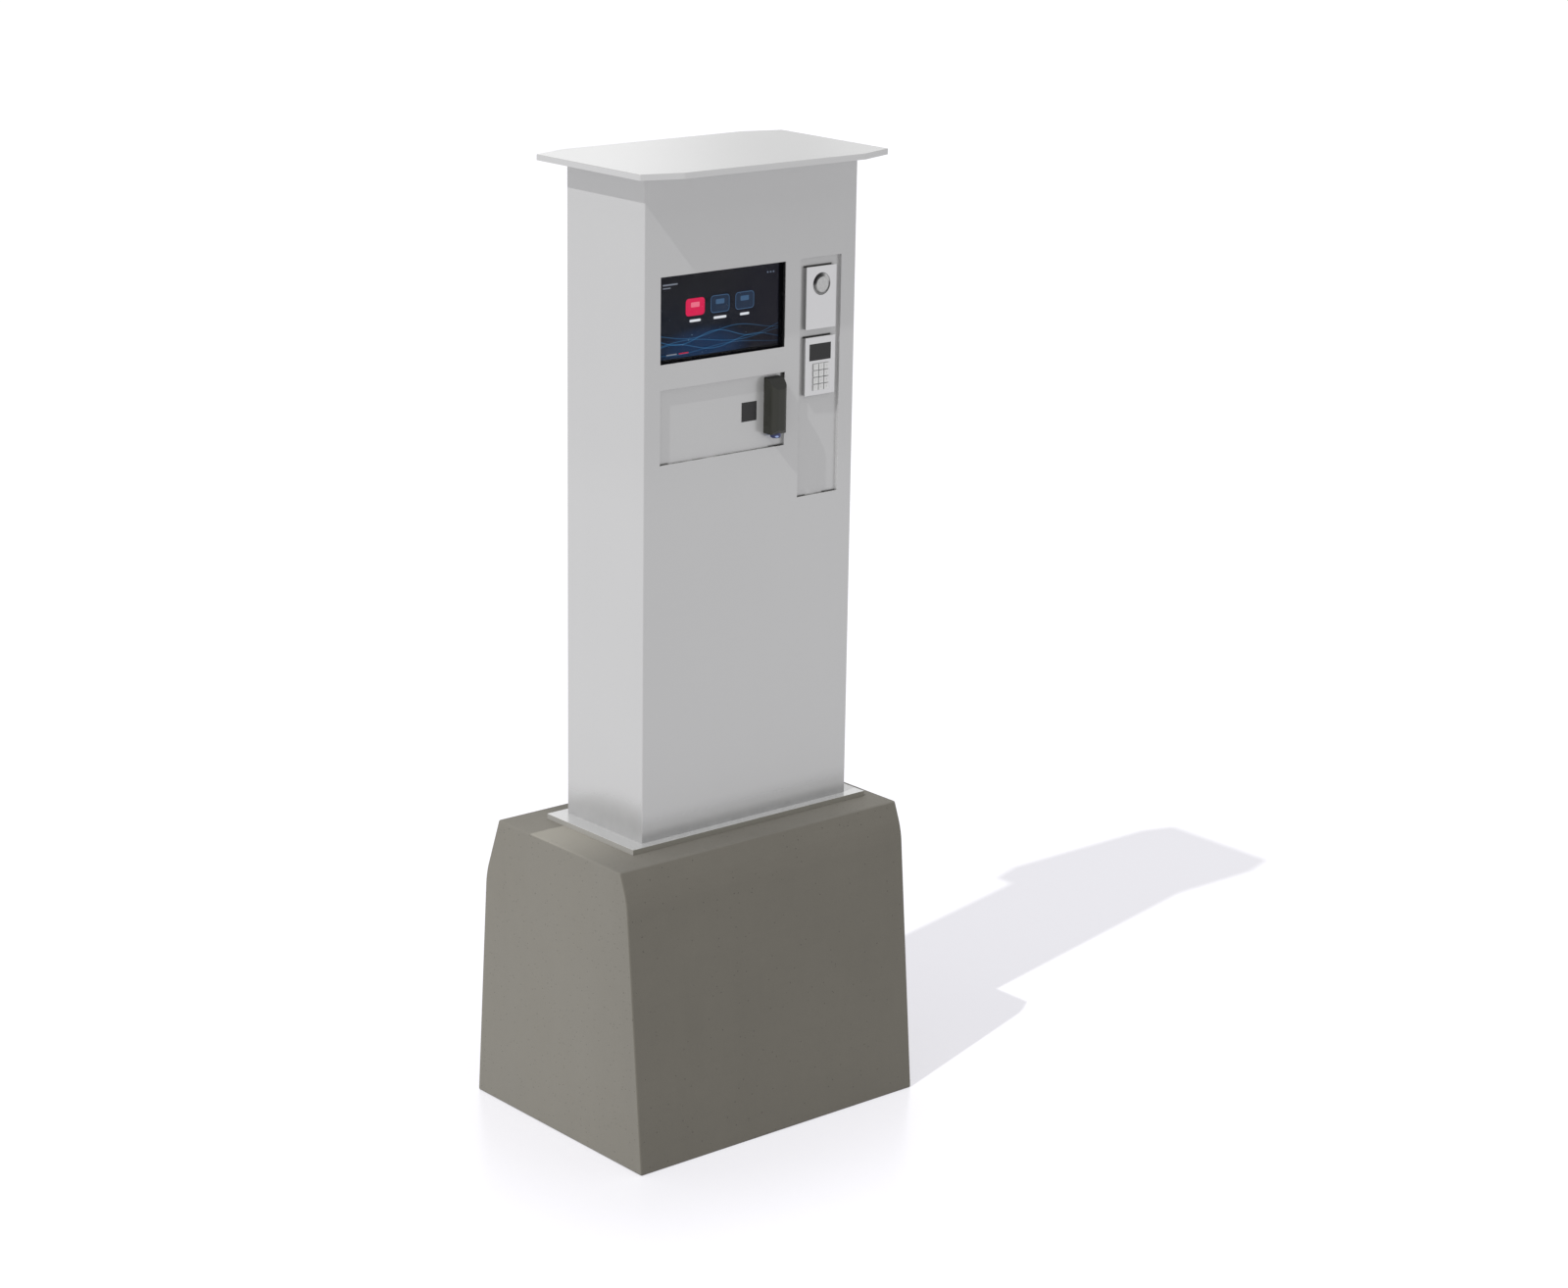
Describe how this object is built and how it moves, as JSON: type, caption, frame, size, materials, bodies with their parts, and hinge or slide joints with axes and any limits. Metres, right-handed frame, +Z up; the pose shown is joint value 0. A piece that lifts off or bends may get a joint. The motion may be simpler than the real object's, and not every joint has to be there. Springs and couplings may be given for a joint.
{
  "type": "ticket vending machine",
  "caption": "Free-standing self-service ticket terminal: sheet-steel cabinet with flat roof, display, card and code readers, intercom and keypad, on a concrete plinth.",
  "frame": {"origin": "centre of the plinth's underside, on the ground", "axes": "+Z up, the front with the display faces -Y, +X to the right of someone facing the front"},
  "size_m": [0.676, 0.518, 1.8425],
  "materials": {
    "concrete": "cast concrete, matt, fine pores",
    "duct_plastic": "grey pipe plastic",
    "zinc_steel": "zinc plated",
    "paint": "satin light grey powder coat",
    "roof_paint": "satin pale grey powder coat",
    "rubber": "matt black",
    "display_glass": "clear cover glass",
    "display_face": "dark liquid crystal face",
    "black_window": "smooth black",
    "dark_housing": "fine textured dark olive grey",
    "ring_light": "translucent blue",
    "lens": "clear",
    "board": "green circuit board",
    "silver_plate": "fine blasted, anodised",
    "module_grey": "dark grey",
    "button_grey": "satin grey",
    "key_silver": "satin silver",
    "galvanised": "galvanised sheet",
    "black_case": "black anodised",
    "psu_case": "plain sheet"
  },
  "bodies": {
    "terminal": {"plinth": "concrete", "duct_sleeve": "duct_plastic", "anchor_studs": "zinc_steel", "anchor_nuts": "zinc_steel", "base_flange": "paint", "cable_gland": "module_grey", "front_panel": "paint", "left_wall": "paint", "right_wall": "paint", "rear_frame": "paint", "cabinet_top": "paint", "roof_plate": "roof_paint", "panel_studs": "zinc_steel", "panel_nuts": "zinc_steel", "panel_screws": "zinc_steel", "display_gasket": "rubber", "display_glass": "display_glass", "display_panel": "display_face", "display_frame": "galvanised", "reader_recess": "paint", "card_reader_window": "black_window", "card_reader_module": "module_grey", "code_reader_housing": "dark_housing", "code_reader_ring": "ring_light", "code_reader_lens": "lens", "code_reader_engine": "board", "intercom_recess": "paint", "intercom_housing": "module_grey", "intercom_faceplate": "silver_plate", "button_collar": "dark_housing", "intercom_speaker": "module_grey", "keypad_housing": "module_grey", "keypad_faceplate": "silver_plate", "keypad_window": "black_window", "keypad_board": "board", "hinge_pintles": "zinc_steel", "mounting_plate": "galvanised", "computer_case": "black_case", "din_rail": "zinc_steel", "power_supply": "psu_case"},
    "service_door": {"rear_door": "paint", "door_gasket": "rubber", "hinge_gudgeons": "zinc_steel", "lock_housing": "zinc_steel"},
    "door_lock": {"lock_core": "zinc_steel", "lock_cam": "zinc_steel"},
    "call_push": {"call_button": "button_grey"},
    "key_1_cap": {"key_1": "key_silver"},
    "key_2_cap": {"key_2": "key_silver"},
    "key_3_cap": {"key_3": "key_silver"},
    "key_4_cap": {"key_4": "key_silver"},
    "key_5_cap": {"key_5": "key_silver"},
    "key_6_cap": {"key_6": "key_silver"},
    "key_7_cap": {"key_7": "key_silver"},
    "key_8_cap": {"key_8": "key_silver"},
    "key_9_cap": {"key_9": "key_silver"},
    "key_star_cap": {"key_star": "key_silver"},
    "key_0_cap": {"key_0": "key_silver"},
    "key_hash_cap": {"key_hash": "key_silver"}
  },
  "joints": [
    {"name": "door_hinge", "type": "hinge", "parent": "terminal", "child": "service_door", "pos_m": [0.271, 0.1215, 1.2145], "axis": [0, 0, -1], "range_deg": [0, 110]},
    {"name": "lock_turn", "type": "hinge", "parent": "service_door", "child": "door_lock", "pos_m": [-0.181, 0.1005, 1.2285], "axis": [0, 1, 0], "range_deg": [0, 90]},
    {"name": "call_press", "type": "slide", "parent": "terminal", "child": "call_push", "axis": [0, 1, 0], "range_m": [0, 0.002], "stiffness_N_per_m": 900},
    {"name": "key_1_press", "type": "slide", "parent": "terminal", "child": "key_1_cap", "axis": [0, 1, 0], "range_m": [0, 0.0012], "stiffness_N_per_m": 800},
    {"name": "key_2_press", "type": "slide", "parent": "terminal", "child": "key_2_cap", "axis": [0, 1, 0], "range_m": [0, 0.0012], "stiffness_N_per_m": 800},
    {"name": "key_3_press", "type": "slide", "parent": "terminal", "child": "key_3_cap", "axis": [0, 1, 0], "range_m": [0, 0.0012], "stiffness_N_per_m": 800},
    {"name": "key_4_press", "type": "slide", "parent": "terminal", "child": "key_4_cap", "axis": [0, 1, 0], "range_m": [0, 0.0012], "stiffness_N_per_m": 800},
    {"name": "key_5_press", "type": "slide", "parent": "terminal", "child": "key_5_cap", "axis": [0, 1, 0], "range_m": [0, 0.0012], "stiffness_N_per_m": 800},
    {"name": "key_6_press", "type": "slide", "parent": "terminal", "child": "key_6_cap", "axis": [0, 1, 0], "range_m": [0, 0.0012], "stiffness_N_per_m": 800},
    {"name": "key_7_press", "type": "slide", "parent": "terminal", "child": "key_7_cap", "axis": [0, 1, 0], "range_m": [0, 0.0012], "stiffness_N_per_m": 800},
    {"name": "key_8_press", "type": "slide", "parent": "terminal", "child": "key_8_cap", "axis": [0, 1, 0], "range_m": [0, 0.0012], "stiffness_N_per_m": 800},
    {"name": "key_9_press", "type": "slide", "parent": "terminal", "child": "key_9_cap", "axis": [0, 1, 0], "range_m": [0, 0.0012], "stiffness_N_per_m": 800},
    {"name": "key_star_press", "type": "slide", "parent": "terminal", "child": "key_star_cap", "axis": [0, 1, 0], "range_m": [0, 0.0012], "stiffness_N_per_m": 800},
    {"name": "key_0_press", "type": "slide", "parent": "terminal", "child": "key_0_cap", "axis": [0, 1, 0], "range_m": [0, 0.0012], "stiffness_N_per_m": 800},
    {"name": "key_hash_press", "type": "slide", "parent": "terminal", "child": "key_hash_cap", "axis": [0, 1, 0], "range_m": [0, 0.0012], "stiffness_N_per_m": 800}
  ]
}
